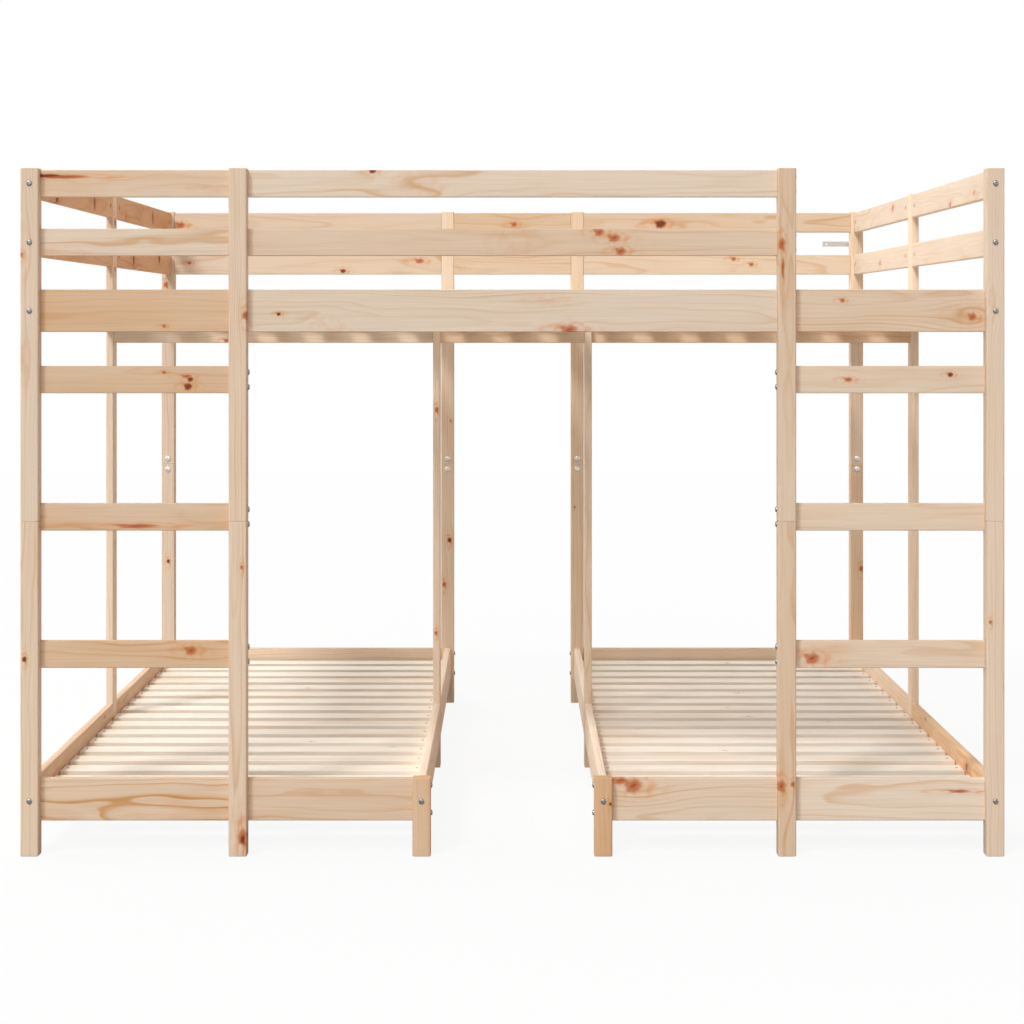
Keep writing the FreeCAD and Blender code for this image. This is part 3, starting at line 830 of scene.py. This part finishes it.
class BUNKBED_OT_slat_screws(bpy.types.Operator):
    """Countersunk screws with a cross recess, one in each end of each slat"""
    bl_idname = "bunkbed.slat_screws"
    bl_label = "Slat screws"

    def execute(self, context):
        sizes = context.scene.bunkbed_hardware
        radius, proud = sizes.slat_screw / 2, mm(0.6)
        taper, rim, recess_depth, arm_width = 0.7, 0.42 * radius, 0.8 * proud, 0.45
        places = []
        for node in SLAT_NODES:
            measured = welded_copy(context, node, "measured")
            for _, low, high in separate_bodies(measured.data):
                along = max((0, 1), key=lambda k: high[k] - low[k])
                for end in (low[along] + sizes.slat_screw_inset, high[along] - sizes.slat_screw_inset):
                    seat = (low + high) / 2
                    seat[along], seat.z = end, high.z
                    places.append((seat, (0, 0, 1)))
            bpy.data.objects.remove(measured)
        bpy.ops.object.select_all(action="DESELECT")
        bpy.ops.mesh.primitive_cylinder_add(vertices=sizes.screw_sides, radius=radius, depth=proud * 2,
                                            location=(0, 0, 0))
        screw = context.active_object
        bpy.ops.object.mode_set(mode="EDIT")
        select_where(screw, "faces", lambda face: face.normal.z < -0.9)
        bpy.ops.transform.resize(value=(taper, taper, 1))
        select_where(screw, "faces", lambda face: face.normal.z > 0.9)
        bpy.ops.mesh.inset(thickness=rim)
        bpy.ops.mesh.extrude_region_move(TRANSFORM_OT_translate={"value": (0, 0, -recess_depth)})

        def between_arms(vertex):
            """The corners of the recess between its four arms, which are then drawn in."""
            quarter = math.degrees(math.atan2(vertex.co.y, vertex.co.x)) % 90
            return vertex.co.xy.length < radius * 0.65 and vertex.co.z > -proud / 2 and 22.5 < quarter < 67.5

        select_where(screw, "verts", between_arms)
        bpy.ops.transform.resize(value=(arm_width, arm_width, 1))
        bpy.ops.object.mode_set(mode="OBJECT")
        screw.data.materials.append(finish_named(context, "zinc_steel"))
        set_copies(context, screw, "slat_screws", places)
        return {"FINISHED"}


class BUNKBED_OT_bolts(bpy.types.Operator):
    """Domed socket bolts and screws through the posts"""
    bl_idname = "bunkbed.bolts"
    bl_label = "Bolts and screws"

    def execute(self, context):
        for node in ("side_rail_bolts", "seam_bolts", "rung_screws"):
            dress_bolts(context, node)
        return {"FINISHED"}


class BUNKBED_OT_end_screws(bpy.types.Operator):
    """Pairs of domed screws through the posts into the ends of the front and back boards"""
    bl_idname = "bunkbed.end_screws"
    bl_label = "Rail end screws"

    rail_half_pitch: length_of("Rail screws", "Screw from a rail's middle", 15.5)
    board_half_pitch: length_of("Board screws", "Screw from a board's middle", 29)

    def execute(self, context):
        places = []

        def pair(node, post, side, spread, level=None):
            low, high = (Vector(c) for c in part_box(node))
            post_low, post_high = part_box(post)
            x = post_high[0] if side > 0 else post_low[0]
            middle = (low.z + high.z) / 2 if level is None else level
            for step in (-spread, spread):
                places.append((Vector((x, (low.y + high.y) / 2, middle + step)), (side, 0, 0)))

        rail, board = self.rail_half_pitch, self.board_half_pitch
        sides = (("left", -1), ("right", 1))
        pair("front_left_top_rail", "left_front_post_upper", -1, rail)
        pair("front_left_middle_rail", "left_front_post_upper", -1, rail)
        for label, side in sides:
            pair(f"front_{label}_bed_board", label + "_front_post_upper", side, board)
            pair(label + "_low_front_boards", label + "_front_post_lower", side, board)
            pair(label + "_low_front_boards", label + "_short_leg", -side, board)
        pair("front_centre_top_rail", "right_ladder_post_upper", 1, rail)
        pair("front_centre_middle_rail", "right_ladder_post_upper", 1, rail)
        for label, side in sides:
            for front_rail in ("front_centre_top_rail", "front_centre_middle_rail"):
                low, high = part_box(front_rail)
                pair("back_guard_rails", label + "_back_post_upper", side, rail, (low[2] + high[2]) / 2)
            pair("back_bed_boards", label + "_back_post_upper", side, board)
            pair("low_back_boards", label + "_back_post_lower", side, board)
            pair("low_back_boards", label + "_back_inner_post_lower", -side, board)
        head_width = context.scene.bunkbed_hardware.head_width
        shank_length = mm(4)    # Only the heads show.
        screw = model_bolt(context, shank_length, head_width, "zinc_steel")
        set_copies(context, screw, "rail_end_screws", places)
        return {"FINISHED"}


class BUNKBED_OT_joint_hardware(bpy.types.Operator):
    """Barrel nuts, tie rods, seam pins, dowels and the wall bracket, which keep their shapes"""
    bl_idname = "bunkbed.joint_hardware"
    bl_label = "Joint hardware"

    def execute(self, context):
        kept = {"barrel_nuts": "zinc_steel", "mid_post_tie_rods": "zinc_steel", "seam_pins": "zinc_steel",
                "wall_bracket_screw": "zinc_steel", "wall_bracket": "bracket_steel", "mid_post_dowels": "beech"}
        for node, slot in kept.items():
            piece = NODES[node]
            if not piece.material_slots:
                raise RuntimeError(node + " has no material slot")
            for material_slot in piece.material_slots:
                material_slot.material = finish_named(context, slot)
        return {"FINISHED"}


class BUNKBED_OT_studio(bpy.types.Operator):
    """Plain pale floor, soft light and the camera"""
    bl_idname = "bunkbed.studio"
    bl_label = "Studio"

    def execute(self, context):
        scene, levels = context.scene, context.scene.bunkbed_studio
        bpy.ops.object.select_all(action="DESELECT")
        bpy.ops.mesh.primitive_plane_add(size=24, location=(0, 0, 0))
        floor = context.active_object
        floor.name = "studio_floor"
        material, tree = empty_material("matt_white_floor")
        rays = put(tree, RAYS).outputs
        # The camera sees a floor as white as the backdrop with only the bed's faint shadow on it.
        lit = put(tree, "ShaderNodeBsdfDiffuse", {"Color": (levels.floor_bounce,) * 3 + (1,)})
        shadowed = put(tree, "ShaderNodeBsdfDiffuse", {"Color": (0.08, 0.08, 0.08, 1)})
        glow = put(tree, "ShaderNodeEmission", {"Color": WHITE, "Strength": 0.9})
        seen = put(tree, "ShaderNodeAddShader", [shadowed, glow])
        mixed = put(tree, "ShaderNodeMixShader", [rays["Is Camera Ray"], lit, seen])
        put(tree, OUTPUT, {"Surface": mixed})
        floor.data.materials.append(material)

        world = bpy.data.worlds.new("white_studio")
        world.use_nodes = True
        tree = world.node_tree
        tree.nodes.clear()
        rays = put(tree, RAYS).outputs
        bright = put(tree, MATH, [rays["Is Camera Ray"], rays["Is Glossy Ray"]], "MAXIMUM")
        bright = put(tree, MATH, [bright, rays["Is Transmission Ray"]], "MAXIMUM")
        soft = put(tree, "ShaderNodeBackground", {"Color": WHITE, "Strength": levels.sky_level})
        full = put(tree, "ShaderNodeBackground", {"Color": WHITE, "Strength": 1.0})
        mixed = put(tree, "ShaderNodeMixShader", [bright, soft, full])
        put(tree, "ShaderNodeOutputWorld", {"Surface": mixed})
        scene.world = world

        # Level, width in degrees, way and colour. The right lamp is as warm as light that pale wood has sent back.
        white, wood = (1.0, 1.0, 1.0), (1.0, 0.57, 0.37)
        lamps = (("main", levels.front_level, 12, (0.35, 0.58, -0.735), white),
                 ("low", levels.low_level, 30, (0.10, 0.90, -0.42), white),
                 ("left", levels.left_level, 50, (0.91, -0.25, -0.33), white),
                 ("right", levels.right_level, 60, (-0.99, 0.0, -0.12), wood),
                 ("back", levels.back_level, 60, (0.20, -0.55, -0.80), white))
        for name, level, angle, way, colour in lamps:
            bpy.ops.object.light_add(type="SUN", location=(0, 0, 3))
            lamp = context.active_object
            lamp.name = name + "_light"
            lamp.data.energy = level * math.pi
            lamp.data.color = colour
            lamp.data.angle = math.radians(angle)
            lamp.rotation_euler = Vector(way).to_track_quat("-Z", "Y").to_euler()

        bpy.ops.object.camera_add(location=(0, -levels.camera_distance, levels.camera_height),
                                  rotation=(math.pi / 2, 0, 0))
        camera = context.active_object
        camera.data.sensor_width = 36
        camera.data.lens = LENS
        camera.data.shift_x, camera.data.shift_y = LENS_SHIFT
        scene.camera = camera
        scene.view_settings.view_transform = "Standard"
        return {"FINISHED"}


OPERATORS = (BUNKBED_OT_posts, BUNKBED_OT_front_rails, BUNKBED_OT_ladders, BUNKBED_OT_back_and_side_rails,
             BUNKBED_OT_low_boards, BUNKBED_OT_slat_supports, BUNKBED_OT_slats, BUNKBED_OT_slat_screws,
             BUNKBED_OT_bolts, BUNKBED_OT_end_screws, BUNKBED_OT_joint_hardware, BUNKBED_OT_studio)


class BUNKBED_PT_panel(bpy.types.Panel):
    """Lists the steps that finish the bunk bed"""
    bl_idname = "BUNKBED_PT_panel"
    bl_label = "Bunk bed"
    bl_space_type = "VIEW_3D"
    bl_region_type = "UI"
    bl_category = "Bunk bed"

    def draw(self, context):
        column = self.layout.column(align=True)
        for operator in OPERATORS:
            column.operator(operator.bl_idname)
        for group in (context.scene.bunkbed_timber, context.scene.bunkbed_hardware, context.scene.bunkbed_studio):
            box = self.layout.box()
            for name in group.bl_rna.properties.keys():
                if name not in ("rna_type", "name"):
                    box.prop(group, name)


CLASSES = (TimberSettings, HardwareSettings, StudioSettings) + OPERATORS + (BUNKBED_PT_panel,)
GROUPS = {"bunkbed_timber": TimberSettings, "bunkbed_hardware": HardwareSettings, "bunkbed_studio": StudioSettings}


def register():
    for kind in CLASSES:
        bpy.utils.register_class(kind)
    for name, kind in GROUPS.items():
        setattr(bpy.types.Scene, name, PointerProperty(type=kind))


def unregister():
    for name in GROUPS:
        delattr(bpy.types.Scene, name)
    for kind in reversed(CLASSES):
        bpy.utils.unregister_class(kind)


def main():
    register()
    bpy.ops.bunkbed.posts()
    bpy.ops.bunkbed.front_rails()
    bpy.ops.bunkbed.ladders()
    bpy.ops.bunkbed.back_and_side_rails()
    bpy.ops.bunkbed.low_boards()
    bpy.ops.bunkbed.slat_supports()
    bpy.ops.bunkbed.slats()
    bpy.ops.bunkbed.slat_screws()
    bpy.ops.bunkbed.bolts()
    bpy.ops.bunkbed.end_screws()
    bpy.ops.bunkbed.joint_hardware()
    bpy.ops.bunkbed.studio()


if __name__ == "__main__":
    main()
